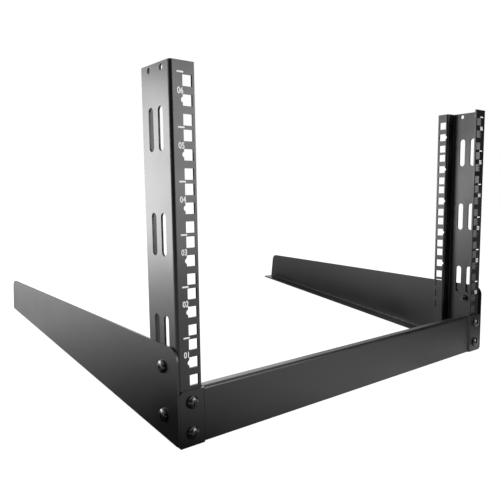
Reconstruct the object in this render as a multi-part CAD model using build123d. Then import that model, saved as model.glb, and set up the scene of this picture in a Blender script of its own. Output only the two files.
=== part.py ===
"""Desktop open-frame rack: two leaning posts, two side feet and a front beam.

Sizes are in millimetres and degrees. Every piece is drawn in the frame of the
posts: X across the rack, Y from the front face of the posts to the rear, and
Z up along the posts. The whole rack is then leaned back, so that the slanted
lower edges of the feet lie flat on a level floor.
"""

from math import cos, radians, sin
import os

from build123d import *

# Sheet metal
sheet = 2.0                    # thickness of every sheet
bend_outer = 3.0               # radius on the outside of a bend
bend_inner = bend_outer - sheet
seat_gap = 0.2                 # clearance between two sheets that are screwed together
lean = 8.0                     # angle of the posts from upright

# Spacing of the holes for 19 inch equipment
unit_height = 44.45
unit_count = 6
hole_edge_drop = 6.35          # from the edge of a unit to the centre of its outer holes
hole_spacing = 465.1           # from a left hole to the right hole at its height
square_hole = 9.5
notch_radius = 2.4             # locating notch in the middle hole of each unit
notch_depth = 1.8
first_unit_z = 52.5            # lower edge of the lowest unit

# Posts
hole_inset = 7.05              # from the inner edge of a front flange to its holes
flange_width = 24.1            # over the front flange and the thickness of the web
post_top_margin = 9.3          # above the highest unit
web_depth = 47.6               # from the front face to the rear of the step
strip_inset = 10.0             # from the inner edge of a front flange to the strip's outer face
strip_hole_y = 54.0
strip_rear_y = 61.0
slot_length = 37.2
slot_width = 7.8
slot_spacing = 15.4            # between the two columns of slots
slot_middle_y = 23.7
slot_rows = (5, 3, 1)          # whole units between the lowest unit's edge and a row
eye_hole = 5.2                 # round holes near the top of the web
eye_hole_ys = (13.3, 33.0)
eye_hole_drop = 4.6

# Front beam
beam_height = 50.6
beam_shelf_depth = 9.6         # over the upper flange, from the front of the posts
beam_corner = 4.0
beam_step_gap = 0.3716         # between the edge of a post and the back of the beam's step

# Feet
foot_length = 440.0            # along the floor
foot_front_height = 89.0       # up the posts
foot_rear_height = 43.4
foot_ledge_width = 19.5        # over the flange that lies on the floor
foot_front_round = 12.0
foot_rear_round = 9.0

# Screws and nuts
screw_shank = 5.0
screw_length = 12.0
shank_sides = 16               # the small repeated pieces have few faces
hole_clearance = 0.25          # round the shank in the hidden holes of the sheets
hole_sides = 12
head_width = 12.0
head_sides = 32
head_height = 4.0
head_bevel_width = 2.4
head_bevel_height = 1.8
recess_span = 5.6
recess_width = 1.2
recess_depth = 1.8
nut_flats = 8.0
nut_height = 4.0
nut_clearance = 0.1            # round the shank in a nut
beam_screw_inset = 11.3        # from the inner edge of a front flange
beam_screw_zs = (12.3, 40.0)
foot_screw_y = 21.0
foot_screw_zs = (25.5, 69.95)

# Values that follow from the ones above
hole_drops = (hole_edge_drop, unit_height / 2, unit_height - hole_edge_drop)
hole_x = hole_spacing / 2
flange_x = hole_x - hole_inset
post_x = flange_x + flange_width
strip_face_x = flange_x + strip_inset
beam_screw_x = flange_x + beam_screw_inset
beam_step_x = flange_x - beam_step_gap - 2 ** 0.5 * sheet   # where the face steps forward
screw_hole = screw_shank + 2 * hole_clearance
nut_hole = screw_shank + 2 * nut_clearance
foot_inner_x = post_x + seat_gap
foot_outer_x = foot_inner_x + sheet
beam_back_y = -seat_gap
beam_face_y = beam_back_y - sheet
units_top_z = first_unit_z + unit_count * unit_height
post_top_z = units_top_z + post_top_margin
reach = 3 * max(post_x, foot_length)   # longer than any piece, for the cutting tools
names = ("lower", "upper")


def hole_heights():
    """Return the height of each square hole, with True for a notched one."""
    heights = []
    for unit in range(unit_count):
        upper_edge = units_top_z - unit * unit_height
        for drop in hole_drops:
            heights.append((upper_edge - drop, drop == hole_drops[1]))
    return heights


def hole_column(plane, column, notch_side):
    """Cut tools for one column of square holes, drawn on a plane."""
    with BuildSketch(plane) as sketch:
        for height, notched in hole_heights():
            with Locations((column, height)):
                Rectangle(square_hole, square_hole)
            if notched:
                inset = square_hole / 2 + notch_depth - notch_radius
                with Locations((column + notch_side * inset, height)):
                    Circle(notch_radius)
    return extrude(sketch.sketch, amount=3 * sheet, both=True)


def screw_hole_outline():
    """Outline of a clearance hole, which a screw head and a nut hide."""
    return RegularPolygon(screw_hole / 2, hole_sides, major_radius=False)


def floor_cut(height):
    """Everything under a level plane this high over the floor, for a leaning piece."""
    block = Pos(0, 0, -reach / 2) * Box(reach, reach, reach)
    return Rot(X=lean) * Pos(0, 0, height) * block


def make_post():
    """Right post: front flange, web, inward step and a strip that faces sideways."""
    strip_x = strip_face_x - sheet
    outside = FilletPolyline(
        (flange_x, 0), (post_x, 0), (post_x, web_depth),
        (strip_face_x, web_depth), (strip_face_x, strip_rear_y),
        radius=[bend_outer, bend_outer, bend_inner],
    )
    inside = FilletPolyline(
        (flange_x, sheet), (post_x - sheet, sheet), (post_x - sheet, web_depth - sheet),
        (strip_x, web_depth - sheet), (strip_x, strip_rear_y),
        radius=[bend_inner, bend_inner, bend_outer],
    )
    front_end = Line((flange_x, 0), (flange_x, sheet))
    rear_end = Line((strip_face_x, strip_rear_y), (strip_x, strip_rear_y))
    section = make_face(outside.edges() + inside.edges() + [front_end, rear_end])
    post = extrude(section, amount=post_top_z)

    # square holes in the front flange and in the strip, notched towards the bend
    front_plane = Plane(origin=(0, 0, 0), x_dir=(1, 0, 0), z_dir=(0, -1, 0))
    strip_plane = Plane(origin=(strip_face_x, 0, 0), x_dir=(0, 1, 0), z_dir=(1, 0, 0))
    post -= hole_column(front_plane, hole_x, 1)
    post -= hole_column(strip_plane, strip_hole_y, -1)

    # long slots and small round holes in the web
    web_plane = Plane(origin=(post_x, 0, 0), x_dir=(0, 1, 0), z_dir=(1, 0, 0))
    with BuildSketch(web_plane) as web_holes:
        for row in slot_rows:
            for side in (-1, 1):
                place = (slot_middle_y + side * slot_spacing / 2,
                         first_unit_z + row * unit_height)
                with Locations(place):
                    SlotOverall(slot_length, slot_width, rotation=90)
        for place in eye_hole_ys:
            with Locations((place, post_top_z - eye_hole_drop)):
                Circle(eye_hole / 2)
        for height in foot_screw_zs:
            add(Pos(foot_screw_y, height) * screw_hole_outline())
    post -= extrude(web_holes.sketch, amount=2 * sheet, both=True)

    with BuildSketch(front_plane) as beam_holes:
        for height in beam_screw_zs:
            add(Pos(beam_screw_x, height) * screw_hole_outline())
    post -= extrude(beam_holes.sketch, amount=2 * sheet, both=True)
    return post - floor_cut(sheet + bend_inner + seat_gap)


def make_foot():
    """Right foot: a tapered side plate with a ledge along the floor."""
    slope = radians(lean)
    ledge_x = foot_outer_x - foot_ledge_width
    tall = foot_front_height + foot_length
    outside = FilletPolyline(
        (foot_outer_x, tall), (foot_outer_x, 0), (ledge_x, 0), radius=[bend_outer])
    inside = FilletPolyline(
        (foot_inner_x, tall), (foot_inner_x, sheet), (ledge_x, sheet), radius=[bend_inner])
    upper_end = Line((foot_outer_x, tall), (foot_inner_x, tall))
    ledge_end = Line((ledge_x, 0), (ledge_x, sheet))
    profile = make_face(outside.edges() + inside.edges() + [upper_end, ledge_end])
    section_plane = Plane(origin=(0, -foot_length, 0), x_dir=(1, 0, 0), z_dir=(0, -1, 0))
    angle_iron = extrude(section_plane * profile, amount=-3 * foot_length)

    # side outline on the floor: the front edge runs up along the posts
    def on_floor(y, z):
        return (y * cos(slope) + z * sin(slope), z * cos(slope) - y * sin(slope))

    front_low = (beam_face_y / cos(slope), 0)
    front_high = on_floor(beam_face_y, foot_front_height)
    rear_high = (foot_length, foot_rear_height)
    rear_low = (foot_length, 0)
    side_plane = Plane(origin=(0, 0, 0), x_dir=(0, 1, 0), z_dir=(1, 0, 0))
    with BuildSketch(side_plane) as outline:
        with BuildLine():
            FilletPolyline(front_low, front_high, rear_high, rear_low,
                           radius=[foot_front_round, foot_rear_round])
            Line(rear_low, front_low)
        make_face()
    foot = angle_iron & extrude(outline.sketch, amount=reach)

    # the ledge starts behind the beam
    ledge_start = sheet * sin(slope) + seat_gap
    clear = Box(foot_ledge_width, foot_ledge_width, 2 * (sheet + bend_inner),
                align=(Align.MAX, Align.MAX, Align.CENTER))
    foot -= Pos(foot_inner_x, ledge_start, 0) * clear

    foot = Rot(X=lean) * foot
    with BuildSketch(Plane(origin=(foot_inner_x, 0, 0), x_dir=(0, 1, 0), z_dir=(1, 0, 0))) as holes:
        for height in foot_screw_zs:
            add(Pos(foot_screw_y, height) * screw_hole_outline())
    return foot - extrude(holes.sketch, amount=2 * sheet, both=True)


def make_beam():
    """Front beam: a narrow shelf over a face, and ends that step forward over the posts."""
    # between the posts, the face is level with their front and its upper edge is bent back
    side_plane = Plane(origin=(-beam_step_x, 0, 0), x_dir=(0, 1, 0), z_dir=(1, 0, 0))
    outside = FilletPolyline(
        (0, 0), (0, beam_height), (beam_shelf_depth, beam_height), radius=[bend_outer])
    inside = FilletPolyline(
        (sheet, 0), (sheet, beam_height - sheet), (beam_shelf_depth, beam_height - sheet),
        radius=[bend_inner])
    lower_end = Line((0, 0), (sheet, 0))
    rear_end = Line((beam_shelf_depth, beam_height), (beam_shelf_depth, beam_height - sheet))
    profile = make_face(outside.edges() + inside.edges() + [lower_end, rear_end])
    middle = extrude(side_plane * profile, amount=2 * beam_step_x)

    # right end from above: a 45 degree step, then the part that is screwed to the post
    step_end = beam_step_x - beam_face_y
    miter = sheet * (2 ** 0.5 - 1)
    plan = Polygon(
        (beam_step_x, 0), (step_end, beam_face_y), (post_x, beam_face_y), (post_x, beam_back_y),
        (step_end + miter, beam_back_y), (beam_step_x + miter, sheet), (beam_step_x, sheet),
        align=None)
    front_plane = Plane(origin=(0, 0, 0), x_dir=(1, 0, 0), z_dir=(0, -1, 0))
    with BuildSketch(front_plane) as face:
        with Locations((0, beam_height / 2)):
            Rectangle(2 * post_x, beam_height)
        # in the sketch's own axes, Y runs up the face
        fillet(face.vertices().group_by(Axis.Y)[-1], beam_corner)
        for height in beam_screw_zs:
            add(Pos(beam_screw_x, height) * screw_hole_outline(), mode=Mode.SUBTRACT)
    end = extrude(plan, amount=beam_height) & extrude(face.sketch, amount=2 * sheet, both=True)
    return middle + end + mirror(end, about=Plane.YZ) - floor_cut(seat_gap)


def make_screw():
    """Screw with a bevelled head, seated at the origin with its shank down and a cross recess."""
    head = extrude(RegularPolygon(head_width / 2, head_sides), amount=head_height)
    top = head.faces().sort_by(Axis.Z)[-1]
    head = chamfer(top.edges(), length=head_bevel_width, length2=head_bevel_height, reference=top)
    screw = head + extrude(RegularPolygon(screw_shank / 2, shank_sides), amount=-screw_length)
    for turn in (0, 90):
        slot = Box(recess_span, recess_width, 2 * recess_depth)
        screw -= Pos(0, 0, head_height) * Rot(Z=turn) * slot
    return screw


def make_nut():
    """Hexagon nut with its seat at the origin, reaching down."""
    with BuildSketch() as section:
        RegularPolygon(nut_flats / 2, 6, major_radius=False)
        Circle(nut_hole / 2, mode=Mode.SUBTRACT)
    return extrude(section.sketch, amount=-nut_height)


def fasteners():
    """Right-hand screws and nuts by name, each in its place."""
    face_out = Rot(X=90)
    side_out = Rot(Y=90)
    pieces = {}
    for name, height in zip(names, beam_screw_zs):
        pieces["beam_screw_" + name] = Pos(beam_screw_x, beam_face_y, height) * face_out * make_screw()
        pieces["beam_nut_" + name] = Pos(beam_screw_x, sheet, height) * face_out * make_nut()
    for name, height in zip(names, foot_screw_zs):
        seat = Pos(foot_outer_x, foot_screw_y, height)
        nut_seat = Pos(post_x - sheet, foot_screw_y, height)
        pieces["foot_screw_" + name] = seat * side_out * make_screw()
        pieces["foot_nut_" + name] = nut_seat * side_out * make_nut()
    return pieces


def write_parts():
    """Lean the rack back, centre it over the origin and write each piece."""
    os.makedirs("parts", exist_ok=True)
    right = {"post": make_post(), "foot": make_foot()}
    right.update(fasteners())
    rack = {"front_beam": make_beam()}
    for name, piece in right.items():
        rack["right_" + name] = piece
        rack["left_" + name] = mirror(piece, about=Plane.YZ)
    rack = {name: Rot(X=-lean) * piece for name, piece in rack.items()}
    boxes = [piece.bounding_box() for piece in rack.values()]
    front = min(box.min.Y for box in boxes)
    rear = max(box.max.Y for box in boxes)
    low = min(box.min.Z for box in boxes)
    high = max(box.max.Z for box in boxes)
    shift = Pos(0, -(front + rear) / 2, -low)
    print("front", front, "rear", rear, "low", low, "high", high)
    for name, piece in rack.items():
        export_step(shift * piece, "parts/" + name + ".step")
        print(name, round(piece.volume, 1), len(piece.solids()))


write_parts()
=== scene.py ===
"""Desktop open-frame rack: its finishes, screws, printed unit marks, a studio and a camera.

Sizes of the rack are in millimetres; objects and sizes of the studio are in metres.
"""

import logging
import math
from dataclasses import dataclass
from enum import Enum
from typing import Any

import bpy
from mathutils import Euler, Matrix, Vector


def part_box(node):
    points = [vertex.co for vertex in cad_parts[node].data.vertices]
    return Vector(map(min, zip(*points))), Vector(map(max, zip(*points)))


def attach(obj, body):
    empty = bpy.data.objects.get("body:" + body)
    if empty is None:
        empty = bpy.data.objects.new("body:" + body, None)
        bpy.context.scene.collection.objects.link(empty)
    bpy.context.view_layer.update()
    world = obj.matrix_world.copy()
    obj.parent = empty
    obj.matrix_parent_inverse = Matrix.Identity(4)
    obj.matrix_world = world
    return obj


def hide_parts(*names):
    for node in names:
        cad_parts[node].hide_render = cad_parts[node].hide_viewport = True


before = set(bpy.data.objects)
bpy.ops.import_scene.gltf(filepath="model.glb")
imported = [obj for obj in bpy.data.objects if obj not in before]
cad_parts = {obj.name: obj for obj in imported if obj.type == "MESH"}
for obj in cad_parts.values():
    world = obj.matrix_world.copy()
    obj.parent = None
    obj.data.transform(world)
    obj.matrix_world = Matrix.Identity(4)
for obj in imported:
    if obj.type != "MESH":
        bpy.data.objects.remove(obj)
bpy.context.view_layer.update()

MM = 0.001
# nearly all values of a noise texture lie between these
NOISE_LOW, NOISE_HIGH = 0.3, 0.7
COARSE_DETAIL, FINE_DETAIL = 3.0, 2.0
# the two colour sockets of a mix node, which share their names with others
MIX_FIRST, MIX_SECOND = 6, 7
LOG = logging.getLogger("rack")


class Side(Enum):
    """A side of the rack, with the sign of its X."""

    LEFT = -1
    RIGHT = 1


def linear(colour: str) -> tuple[float, float, float, float]:
    """Turn an sRGB hex colour into a linear one.

    Args:
        colour: six hex digits after a hash sign.

    Returns:
        Linear red, green, blue and an alpha of one.
    """
    parts = [int(colour[i:i + 2], 16) / 255 for i in (1, 3, 5)]
    red, green, blue = (
        p / 12.92 if p <= 0.04045 else ((p + 0.055) / 1.055) ** 2.4 for p in parts
    )
    return red, green, blue, 1.0


def add_node(
    tree: bpy.types.NodeTree,
    kind: str,
    inputs: dict[str | int, Any] | None = None,
    **settings: Any,
) -> bpy.types.Node:
    """Add a node with its settings and links.

    Args:
        tree: the node tree that takes the node.
        kind: the node's type.
        inputs: a value, or the output socket to link, for each input by its name or number.
        settings: attributes of the node itself.

    Returns:
        The new node.
    """
    node = tree.nodes.new(kind)
    for name, value in settings.items():
        setattr(node, name, value)
    for name, value in (inputs or {}).items():
        if isinstance(value, bpy.types.NodeSocket):
            tree.links.new(value, node.inputs[name])
        else:
            node.inputs[name].default_value = value
    return node


def new_material(name: str) -> bpy.types.Material:
    """Make an empty node material.

    Args:
        name: what the material is called.

    Returns:
        The material, with no nodes.
    """
    material = bpy.data.materials.new(name)
    material.use_nodes = True
    material.node_tree.nodes.clear()
    return material


def deselect_all() -> None:
    """Leave nothing selected."""
    bpy.ops.object.select_all(action="DESELECT")


def select_only(piece: bpy.types.Object) -> None:
    """Select one piece and make it the active one.

    Args:
        piece: the object.
    """
    deselect_all()
    piece.select_set(True)
    bpy.context.view_layer.objects.active = piece


def settle(piece: bpy.types.Object) -> None:
    """Put a piece's place, turn and scale into its mesh.

    Args:
        piece: the object, which ends at the origin.
    """
    select_only(piece)
    bpy.ops.object.transform_apply(location=True, rotation=True, scale=True)


def weld(piece: bpy.types.Object, distance: float) -> None:
    """Make points that nearly meet into one, and drop faces of no area.

    Args:
        piece: the mesh object.
        distance: the points' greatest distance, in millimetres.
    """
    select_only(piece)
    bpy.ops.object.mode_set(mode="EDIT")
    bpy.ops.mesh.select_all(action="SELECT")
    bpy.ops.mesh.remove_doubles(threshold=distance * MM)
    bpy.ops.mesh.dissolve_degenerate(threshold=distance * MM)
    bpy.ops.object.mode_set(mode="OBJECT")


def turn_towards(place: tuple[float, float, float], aim: tuple[float, float, float]) -> Euler:
    """Work out the turn of a lamp or a card that faces a point.

    Args:
        place: where it stands.
        aim: the point.

    Returns:
        The turn, with its back up.
    """
    return (Vector(aim) - Vector(place)).to_track_quat("-Z", "Y").to_euler()


@dataclass(frozen=True)
class PowderCoat:
    """Polyester powder coat, sprayed dry on steel sheet and baked: satin, with orange peel."""

    name: str = "satin_black_powder_coat"
    colour: str = "#09090b"
    thin_colour: str = "#0f0f11"
    ior: float = 1.5
    smoothest: float = 0.30
    roughest: float = 0.40
    # real orange peel is about 1 mm from crest to crest; it is drawn at 2 mm, so that it shows
    peel_size: float = 2.0
    peel_height: float = 0.012
    # the gun lays the powder a little unevenly, in clouds about as wide as its fan
    cloud_size: float = 70.0

    def build(self) -> bpy.types.Material:
        """Make the material.

        Returns:
            The material of the sheets.
        """
        material = new_material(self.name)
        tree = material.node_tree
        place = add_node(tree, "ShaderNodeTexCoord").outputs["Object"]
        cloud = add_node(tree, "ShaderNodeTexNoise", {
            "Vector": place, "Scale": 1 / (self.cloud_size * MM), "Detail": COARSE_DETAIL})
        peel = add_node(tree, "ShaderNodeTexNoise", {
            "Vector": place, "Scale": 1 / (self.peel_size * MM), "Detail": FINE_DETAIL})
        colour = add_node(tree, "ShaderNodeMix", {
            "Factor": cloud.outputs["Fac"], MIX_FIRST: linear(self.colour),
            MIX_SECOND: linear(self.thin_colour)}, data_type="RGBA")
        rough = add_node(tree, "ShaderNodeMapRange", {
            "Value": cloud.outputs["Fac"], "From Min": NOISE_LOW, "From Max": NOISE_HIGH,
            "To Min": self.smoothest, "To Max": self.roughest})
        bump = add_node(tree, "ShaderNodeBump", {
            "Height": peel.outputs["Fac"], "Strength": 1.0,
            "Distance": self.peel_height * MM})
        shader = add_node(tree, "ShaderNodeBsdfPrincipled", {
            "Base Color": colour.outputs[2], "Roughness": rough.outputs["Result"],
            "IOR": self.ior, "Normal": bump.outputs["Normal"]})
        add_node(tree, "ShaderNodeOutputMaterial", {"Surface": shader.outputs["BSDF"]})
        return material


@dataclass(frozen=True)
class BlackZinc:
    """Steel plated with zinc and passivated black: glossy, with fine rubbing from the driver."""

    name: str = "black_zinc_plated_steel"
    colour: str = "#0b0b0c"
    rubbed_colour: str = "#1d1d1f"
    ior: float = 1.6
    smoothest: float = 0.12
    roughest: float = 0.30
    # rubbing from the driver leaves patches about a millimetre across
    patch_size: float = 1.2

    def build(self) -> bpy.types.Material:
        """Make the material.

        Returns:
            The material of the screws and nuts.
        """
        material = new_material(self.name)
        tree = material.node_tree
        place = add_node(tree, "ShaderNodeTexCoord").outputs["Object"]
        patch = add_node(tree, "ShaderNodeTexNoise", {
            "Vector": place, "Scale": 1 / (self.patch_size * MM), "Detail": COARSE_DETAIL})
        colour = add_node(tree, "ShaderNodeMix", {
            "Factor": patch.outputs["Fac"], MIX_FIRST: linear(self.colour),
            MIX_SECOND: linear(self.rubbed_colour)}, data_type="RGBA")
        rough = add_node(tree, "ShaderNodeMapRange", {
            "Value": patch.outputs["Fac"], "From Min": NOISE_LOW, "From Max": NOISE_HIGH,
            "To Min": self.smoothest, "To Max": self.roughest})
        shader = add_node(tree, "ShaderNodeBsdfPrincipled", {
            "Base Color": colour.outputs[2], "Roughness": rough.outputs["Result"],
            "IOR": self.ior})
        add_node(tree, "ShaderNodeOutputMaterial", {"Surface": shader.outputs["BSDF"]})
        return material


@dataclass(frozen=True)
class ScreenInk:
    """White screen-printing ink: matt and nearly opaque, a little thinner in places."""

    name: str = "white_screen_printed_ink"
    colour: str = "#f6f6f4"
    thin_colour: str = "#e0e0de"
    ior: float = 1.5
    roughness: float = 0.6
    # the mesh of the screen leaves a grain of about a third of a millimetre
    grain_size: float = 0.35

    def build(self) -> bpy.types.Material:
        """Make the material.

        Returns:
            The material of the unit marks.
        """
        material = new_material(self.name)
        tree = material.node_tree
        place = add_node(tree, "ShaderNodeTexCoord").outputs["Object"]
        grain = add_node(tree, "ShaderNodeTexNoise", {
            "Vector": place, "Scale": 1 / (self.grain_size * MM), "Detail": FINE_DETAIL})
        colour = add_node(tree, "ShaderNodeMix", {
            "Factor": grain.outputs["Fac"], MIX_FIRST: linear(self.colour),
            MIX_SECOND: linear(self.thin_colour)}, data_type="RGBA")
        shader = add_node(tree, "ShaderNodeBsdfPrincipled", {
            "Base Color": colour.outputs[2], "Roughness": self.roughness,
            "IOR": self.ior})
        add_node(tree, "ShaderNodeOutputMaterial", {"Surface": shader.outputs["BSDF"]})
        return material


@dataclass(frozen=True)
class Rail:
    """The leaning front face of the posts and its units."""

    lean: float = 8.0
    unit_height: float = 44.45
    unit_count: int = 6
    first_unit_z: float = 52.5

    def foot_y(self) -> float:
        """Return the Y, in metres, where the rail's face would meet the floor."""
        low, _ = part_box("left_post")
        return low[1] - low[2] * math.tan(math.radians(self.lean))

    def place(self, x: float, proud: float, height: float) -> Vector:
        """Return a point in metres.

        Args:
            x: distance to the right of the middle.
            proud: distance in front of the rail's face.
            height: distance up the rail.

        Returns:
            The point in the frame of the rack.
        """
        slope = math.radians(self.lean)
        back = -proud * math.cos(slope) + height * math.sin(slope)
        up = proud * math.sin(slope) + height * math.cos(slope)
        return Vector((x * MM, self.foot_y() + back * MM, up * MM))

    def facing(self) -> Euler:
        """Return the turn that stands a flat shape up against the rail."""
        return Euler((math.radians(90 - self.lean), 0, 0))


@dataclass
class UnitMarks:
    """Printed line and number of each unit, beside the holes of one rail."""

    side: Side
    rail: Rail
    ink: bpy.types.Material
    line_x: float = 239.55
    line_length: float = 6.5
    line_width: float = 1.4
    line_round: float = 0.3
    number_x: float = 239.7
    number_width: float = 6.0
    number_height: float = 5.4
    number_drop: float = 15.1
    # the strokes grow outward by this share of the letter height
    stroke_growth: float = 0.022
    ink_height: float = 0.06
    # a number made from text has its caps and sides apart; points this near become one
    weld_distance: float = 0.002
    corner_segments: int = 3
    font_resolution: int = 4

    def line(self, height: float) -> bpy.types.Object:
        """Model the line at the upper edge of a unit.

        Args:
            height: distance of the edge up the rail.

        Returns:
            The line, with its place in its mesh.
        """
        deselect_all()
        where = self.rail.place(self.side.value * self.line_x, 0, height)
        bpy.ops.mesh.primitive_plane_add(size=MM, location=where, rotation=self.rail.facing())
        line = bpy.context.object
        line.scale = (self.line_length, self.line_width, 1)
        settle(line)
        bpy.ops.object.mode_set(mode="EDIT")
        bpy.ops.mesh.select_all(action="SELECT")
        bpy.ops.mesh.bevel(
            offset=self.line_round * MM, segments=self.corner_segments, affect="VERTICES")
        bpy.ops.mesh.select_all(action="SELECT")
        out = self.rail.place(0, self.ink_height, 0) - self.rail.place(0, 0, 0)
        bpy.ops.mesh.extrude_region_move(TRANSFORM_OT_translate={"value": out})
        bpy.ops.mesh.select_all(action="SELECT")
        bpy.ops.mesh.normals_make_consistent(inside=False)
        bpy.ops.object.mode_set(mode="OBJECT")
        return line

    def number(self, unit: int, height: float) -> bpy.types.Object:
        """Model the number of a unit.

        Args:
            unit: the unit's number, from the lowest up.
            height: distance of the unit's upper edge up the rail.

        Returns:
            The number as a mesh, with its place in that mesh.
        """
        deselect_all()
        bpy.ops.object.text_add()
        text = bpy.context.object
        text.data.body = "00"
        text.data.align_x = "CENTER"
        text.data.align_y = "CENTER"
        text.data.resolution_u = self.font_resolution
        text.data.offset = self.stroke_growth
        text.data.extrude = self.ink_height * MM / 2
        # the widest number sets the scale of them all
        bpy.context.view_layer.update()
        width, tall = text.dimensions.x, text.dimensions.y
        text.data.body = f"{unit:02d}"
        bpy.context.view_layer.update()
        bpy.ops.object.convert(target="MESH")
        number = bpy.context.object
        number.scale = (self.number_width * MM / width, self.number_height * MM / tall, 1)
        number.rotation_euler = self.rail.facing()
        middle = height - self.number_drop
        number.location = self.rail.place(
            self.side.value * self.number_x, self.ink_height / 2, middle)
        settle(number)
        weld(number, self.weld_distance)
        return number

    def build(self) -> None:
        """Make a mark for each unit of the rail."""
        for unit in range(1, self.rail.unit_count + 1):
            edge = self.rail.first_unit_z + unit * self.rail.unit_height
            number = self.number(unit, edge)
            mark = self.line(edge)
            deselect_all()
            number.select_set(True)
            mark.select_set(True)
            bpy.context.view_layer.objects.active = mark
            bpy.ops.object.join()
            mark.name = f"{self.side.name.lower()}_unit_mark_{unit:02d}"
            mark.data.name = mark.name
            mark.data.materials.clear()
            mark.data.materials.append(self.ink)
            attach(mark, "root")
            LOG.info("%s: %d faces", mark.name, len(mark.data.polygons))


@dataclass
class SheetMetal:
    """The posts, feet and beam, which keep their shape and get their coat."""

    coat: bpy.types.Material
    zinc: bpy.types.Material

    def dress(self) -> None:
        """Give each sheet its coat, and each screw and nut its plating."""
        for name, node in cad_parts.items():
            finish = self.zinc if "screw" in name or "nut" in name else self.coat
            for slot in node.material_slots:
                slot.material = finish
            LOG.info("%s: %s", name, finish.name)


@dataclass
class PanScrews:
    """The eight cross-recessed pan-head screws, with the domed heads that show."""

    rail: Rail
    zinc: bpy.types.Material
    head_width: float = 11.9
    head_rim: float = 1.1
    head_dome: float = 2.8
    edge_round: float = 0.25
    recess_span: float = 5.6
    recess_width: float = 1.2
    recess_depth: float = 1.8
    shank_width: float = 4.9
    shank_length: float = 11.9
    shank_sunk: float = 0.5
    # points nearer than this, left by the cut, become one
    weld_distance: float = 0.02
    dome_segments: int = 48
    dome_rings: int = 24
    shank_sides: int = 32
    round_segments: int = 2
    # edges sharper than these, in degrees, are rounded or shown as edges
    rounded_angle: float = 50.0
    shown_angle: float = 35.0
    beam_x: float = 236.8
    beam_proud: float = 2.2
    beam_heights: tuple[float, float] = (12.3, 40.0)
    foot_x: float = 251.8
    foot_proud: float = -21.0
    foot_heights: tuple[float, float] = (25.5, 69.95)

    def head(self) -> bpy.types.Object:
        """Model a domed head on the origin.

        Returns:
            The head, facing up.
        """
        deselect_all()
        bpy.ops.mesh.primitive_uv_sphere_add(
            segments=self.dome_segments, ring_count=self.dome_rings, radius=MM,
            location=(0, 0, self.head_rim * MM))
        head = bpy.context.object
        head.scale = (self.head_width / 2, self.head_width / 2, self.head_dome)
        settle(head)
        bpy.ops.object.mode_set(mode="EDIT")
        bpy.ops.mesh.select_all(action="SELECT")
        bpy.ops.mesh.bisect(
            plane_co=(0, 0, self.head_rim * MM), plane_no=(0, 0, 1),
            use_fill=True, clear_inner=True)
        bpy.ops.mesh.extrude_region_move(
            TRANSFORM_OT_translate={"value": (0, 0, -self.head_rim * MM)})
        bpy.ops.mesh.select_all(action="SELECT")
        bpy.ops.mesh.normals_make_consistent(inside=False)
        bpy.ops.object.mode_set(mode="OBJECT")
        return head

    def cut_recess(self, head: bpy.types.Object) -> None:
        """Cut the cross into the top of a head.

        Args:
            head: the head, facing up.
        """
        top = (self.head_rim + self.head_dome) * MM
        for turn in (0, 90):
            deselect_all()
            bpy.ops.mesh.primitive_cube_add(
                size=MM, location=(0, 0, top), rotation=(0, 0, math.radians(turn)))
            cutter = bpy.context.object
            cutter.scale = (self.recess_span, self.recess_width, 2 * self.recess_depth)
            settle(cutter)
            cut = head.modifiers.new("recess", "BOOLEAN")
            cut.operation = "DIFFERENCE"
            cut.solver = "EXACT"
            cut.object = cutter
            select_only(head)
            bpy.ops.object.modifier_apply(modifier=cut.name)
            bpy.data.objects.remove(cutter)

    def screw(self) -> bpy.types.Object:
        """Model one whole screw on the origin.

        Returns:
            The screw, with its head up.
        """
        head = self.head()
        soft = head.modifiers.new("edges", "BEVEL")
        soft.width = self.edge_round * MM
        soft.segments = self.round_segments
        soft.angle_limit = math.radians(self.rounded_angle)
        bpy.ops.object.modifier_apply(modifier=soft.name)
        # rounded before it is cut, because the recess has corners too tight to round
        self.cut_recess(head)
        weld(head, self.weld_distance)
        deselect_all()
        # the shank starts inside the head, so that no two faces lie on each other
        bpy.ops.mesh.primitive_cylinder_add(
            vertices=self.shank_sides, radius=self.shank_width / 2 * MM,
            depth=(self.shank_length + self.shank_sunk) * MM,
            location=(0, 0, (self.shank_sunk - self.shank_length) / 2 * MM))
        shank = bpy.context.object
        settle(shank)
        head.select_set(True)
        bpy.context.view_layer.objects.active = head
        bpy.ops.object.join()
        bpy.ops.object.shade_smooth_by_angle(angle=math.radians(self.shown_angle))
        return head

    def seat(self, screw: bpy.types.Object, node: str, where: Vector, turn: Euler) -> None:
        """Put a copy of the screw in the place of a CAD node.

        Args:
            screw: the model on the origin.
            node: name of the CAD node that it stands for.
            where: the middle of its seat.
            turn: the turn from facing up to its own way.
        """
        select_only(screw)
        bpy.ops.object.duplicate()
        copy = bpy.context.object
        copy.name = copy.data.name = "domed_" + node
        copy.location = where
        copy.rotation_euler = turn
        settle(copy)
        copy.data.materials.clear()
        copy.data.materials.append(self.zinc)
        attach(copy, "root")
        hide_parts(node)
        LOG.info("%s: %d faces", copy.name, len(copy.data.polygons))

    def build(self) -> None:
        """Make the screws of both sides."""
        model = self.screw()
        for side in Side:
            name, sign = side.name.lower(), side.value
            for level, height in zip(("lower", "upper"), self.beam_heights):
                self.seat(model, f"{name}_beam_screw_{level}",
                          self.rail.place(sign * self.beam_x, self.beam_proud, height),
                          self.rail.facing())
            for level, height in zip(("lower", "upper"), self.foot_heights):
                self.seat(model, f"{name}_foot_screw_{level}",
                          self.rail.place(sign * self.foot_x, self.foot_proud, height),
                          Euler((0, math.radians(sign * 90), 0)))
        bpy.data.objects.remove(model)


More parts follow.
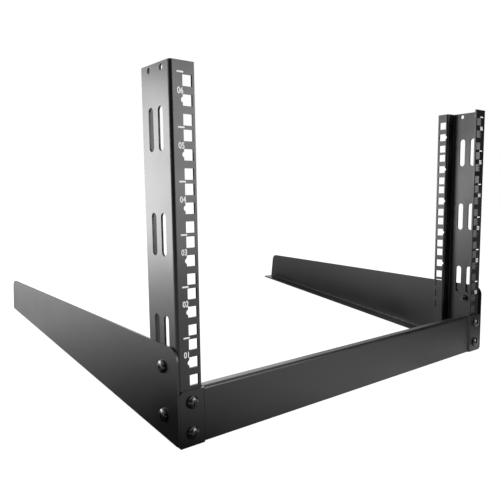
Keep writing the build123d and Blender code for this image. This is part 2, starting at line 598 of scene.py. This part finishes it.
@dataclass(frozen=True)
class Softbox:
    """A flat lamp that faces a point, in metres."""

    name: str
    place: tuple[float, float, float]
    aim: tuple[float, float, float]
    width: float
    height: float
    radiance: float

    def build(self) -> None:
        """Add the lamp, with its power worked out from its area and radiance."""
        deselect_all()
        bpy.ops.object.light_add(type="AREA", location=self.place)
        lamp = bpy.context.object
        lamp.name = self.name
        lamp.rotation_euler = turn_towards(self.place, self.aim)
        lamp.data.shape = "RECTANGLE"
        lamp.data.size = self.width
        lamp.data.size_y = self.height
        lamp.data.energy = math.pi * self.width * self.height * self.radiance
        lamp.visible_camera = False


@dataclass(frozen=True)
class Flag:
    """A black card, in metres, that casts no shadow and only reflections see: it paints dark
    reflections, opaque or feathered.
    """

    name: str
    place: tuple[float, float, float]
    aim: tuple[float, float, float]
    width: float
    height: float
    # distances from the middle, as shares of the width and height
    opaque_to: float = 0.8
    clear_from: float = 0.9
    # the black that reflections show on the card: painted dark reflection, not a real cloth
    reflection_shade: str = "#050505"

    def build(self) -> None:
        """Add the card, facing its aim."""
        material = new_material("painted_dark_reflection_" + self.name)
        tree = material.node_tree
        place = add_node(tree, "ShaderNodeTexCoord").outputs["Object"]
        away = add_node(tree, "ShaderNodeVectorMath", {0: place}, operation="LENGTH")
        clear = add_node(tree, "ShaderNodeMapRange", {
            "Value": away.outputs["Value"], "From Min": self.opaque_to,
            "From Max": self.clear_from})
        # painted dark reflection: this black is seen only by glossy rays
        reflection_black = add_node(tree, "ShaderNodeBsdfDiffuse", {"Color": linear(self.reflection_shade)})
        gap = add_node(tree, "ShaderNodeBsdfTransparent")
        both = add_node(tree, "ShaderNodeMixShader", {
            0: clear.outputs["Result"], 1: reflection_black.outputs[0], 2: gap.outputs[0]})
        add_node(tree, "ShaderNodeOutputMaterial", {"Surface": both.outputs[0]})
        deselect_all()
        bpy.ops.mesh.primitive_plane_add(size=1, location=self.place)
        card = bpy.context.object
        card.name = self.name
        card.scale = (self.width, self.height, 1)
        card.rotation_euler = turn_towards(self.place, self.aim)
        card.data.materials.append(material)
        card.visible_camera = False
        card.visible_diffuse = False
        card.visible_transmission = False
        card.visible_shadow = False


@dataclass
class Studio:
    """A white floor and surround, softboxes, and black flags that paint dark reflections, in
    metres.
    """

    floor_size: float = 12.0
    floor_drop: float = 0.0002
    floor_colour: str = "#8c8c8c"
    floor_lift: float = 0.87
    surround: float = 0.5
    softboxes: tuple[Softbox, ...] = (
        Softbox("left_softbox", (-0.58, 0.33, 0.18), (-0.25, -0.2, 0.18), 0.50, 0.35, 7.8),
        Softbox("front_softbox", (0.50, -1.35, 0.60), (-0.24, -0.19, 0.2), 0.75, 0.80, 6.8),
        Softbox("rear_softbox", (0.50, 0.85, 0.34), (-0.2, -0.2, 0.05), 0.50, 0.36, 1.9),
        Softbox("top_softbox", (0.1, 0.1, 1.8), (0.0, 0.0, 0.0), 1.4, 1.4, 0.9),
    )
    flags: tuple[Flag, ...] = (
        # the upright flags stand far off and are seen only in reflections: painted dark
        # reflections in the coat and on the bends
        Flag("front_flag", (0.0, -2.4, 1.2), (0.0, 0.0, 1.2), 4.8, 2.4),
        Flag("right_flag", (2.4, -0.55, 1.2), (0.0, -0.55, 1.2), 3.7, 2.4),
        Flag("left_flag", (-2.4, -1.3, 1.2), (0.0, -1.3, 1.2), 2.2, 2.4),
        # the floor flags lie beside the feet and in front of the beam, seen only in reflections:
        # painted shade of the floor, which darkens the coat's reflections there
        Flag("left_floor_flag", (-0.29, -0.23, 0.0004), (-0.29, -0.23, -1.0), 0.50, 0.76,
             0.10, 0.50),
        Flag("right_floor_flag", (0.60, -0.38, 0.0004), (0.60, -0.38, -1.0), 0.90, 0.55,
             0.15, 0.50),
        Flag("far_floor_flag", (1.50, -0.85, 0.0008), (1.50, -0.85, -1.0), 2.20, 1.40,
             0.25, 0.50),
        Flag("inner_floor_flag", (0.19, 0.04, 0.0004), (0.19, 0.04, -1.0), 0.22, 0.80,
             0.05, 0.50),
    )

    def seen(self, tree: bpy.types.NodeTree) -> bpy.types.NodeSocket:
        """Add the nodes that tell the rays that see a surface from those that light it.

        Args:
            tree: the node tree that takes them.

        Returns:
            A socket that is one for camera, glossy and transmission rays.
        """
        path = add_node(tree, "ShaderNodeLightPath")
        glossy = add_node(tree, "ShaderNodeMath", {
            0: path.outputs["Is Camera Ray"], 1: path.outputs["Is Glossy Ray"]},
            operation="MAXIMUM")
        return add_node(tree, "ShaderNodeMath", {
            0: glossy.outputs[0], 1: path.outputs["Is Transmission Ray"]},
            operation="MAXIMUM").outputs[0]

    def floor(self) -> None:
        """Add the floor, which shows white where no shadow falls."""
        material = new_material("studio_floor_paper")
        tree = material.node_tree
        paper = add_node(tree, "ShaderNodeBsdfDiffuse", {"Color": linear(self.floor_colour)})
        amount = add_node(tree, "ShaderNodeMath", {
            0: self.seen(tree), 1: self.floor_lift}, operation="MULTIPLY")
        glow = add_node(tree, "ShaderNodeEmission", {"Strength": amount.outputs[0]})
        both = add_node(tree, "ShaderNodeAddShader", {
            0: paper.outputs[0], 1: glow.outputs[0]})
        add_node(tree, "ShaderNodeOutputMaterial", {"Surface": both.outputs[0]})
        deselect_all()
        bpy.ops.mesh.primitive_plane_add(
            size=self.floor_size, location=(0, 0, -self.floor_drop))
        floor = bpy.context.object
        floor.name = "studio_floor"
        floor.data.materials.append(material)

    def world(self) -> None:
        """Make the surround: white where it is seen, and a plain level where it lights."""
        world = bpy.data.worlds.new("studio_surround")
        bpy.context.scene.world = world
        world.use_nodes = True
        tree = world.node_tree
        tree.nodes.clear()
        strength = add_node(tree, "ShaderNodeMath", {
            0: self.seen(tree), 1: self.surround}, operation="MAXIMUM")
        sky = add_node(tree, "ShaderNodeBackground", {
            "Color": linear("#ffffff"), "Strength": strength.outputs[0]})
        add_node(tree, "ShaderNodeOutputWorld", {"Surface": sky.outputs[0]})

    def build(self) -> None:
        """Set up the floor, the surround, the lamps and the flags."""
        self.floor()
        self.world()
        for gear in (*self.softboxes, *self.flags):
            gear.build()
            LOG.info("%s", gear.name)
        bpy.context.scene.view_settings.view_transform = "Standard"


@dataclass(frozen=True)
class PhotoCamera:
    """The camera of the photograph, in the frame of the leaning posts."""

    rail: Rail
    x: float = -501.23
    proud: float = 400.71
    height: float = 215.61
    yaw: float = 38.72
    pitch: float = 6.75
    roll: float = -0.81
    lens: float = 40.75
    sensor_width: float = 36.0
    shift: tuple[float, float] = (0.0206, 0.0312)

    def build(self) -> None:
        """Add the camera and make it the scene's own."""
        deselect_all()
        turn = (
            Euler((-math.radians(self.rail.lean), 0, 0)).to_matrix()
            @ Euler((0, 0, -math.radians(self.yaw))).to_matrix()
            @ Euler((math.radians(90 - self.pitch), 0, 0)).to_matrix()
            @ Euler((0, 0, math.radians(self.roll))).to_matrix()
        )
        bpy.ops.object.camera_add(location=self.rail.place(self.x, self.proud, self.height))
        camera = bpy.context.object
        camera.name = "photo_camera"
        camera.rotation_euler = turn.to_euler()
        camera.data.sensor_width = self.sensor_width
        camera.data.lens = self.lens
        camera.data.shift_x, camera.data.shift_y = self.shift
        bpy.context.scene.camera = camera


def main() -> None:
    """Build the pieces in order."""
    logging.basicConfig(level=logging.INFO, format="%(message)s")
    rail = Rail()
    PhotoCamera(rail).build()
    zinc = BlackZinc().build()
    SheetMetal(PowderCoat().build(), zinc).dress()
    PanScrews(rail, zinc).build()
    ink = ScreenInk().build()
    for side in Side:
        UnitMarks(side, rail, ink).build()
    Studio().build()


if __name__ == "__main__":
    main()
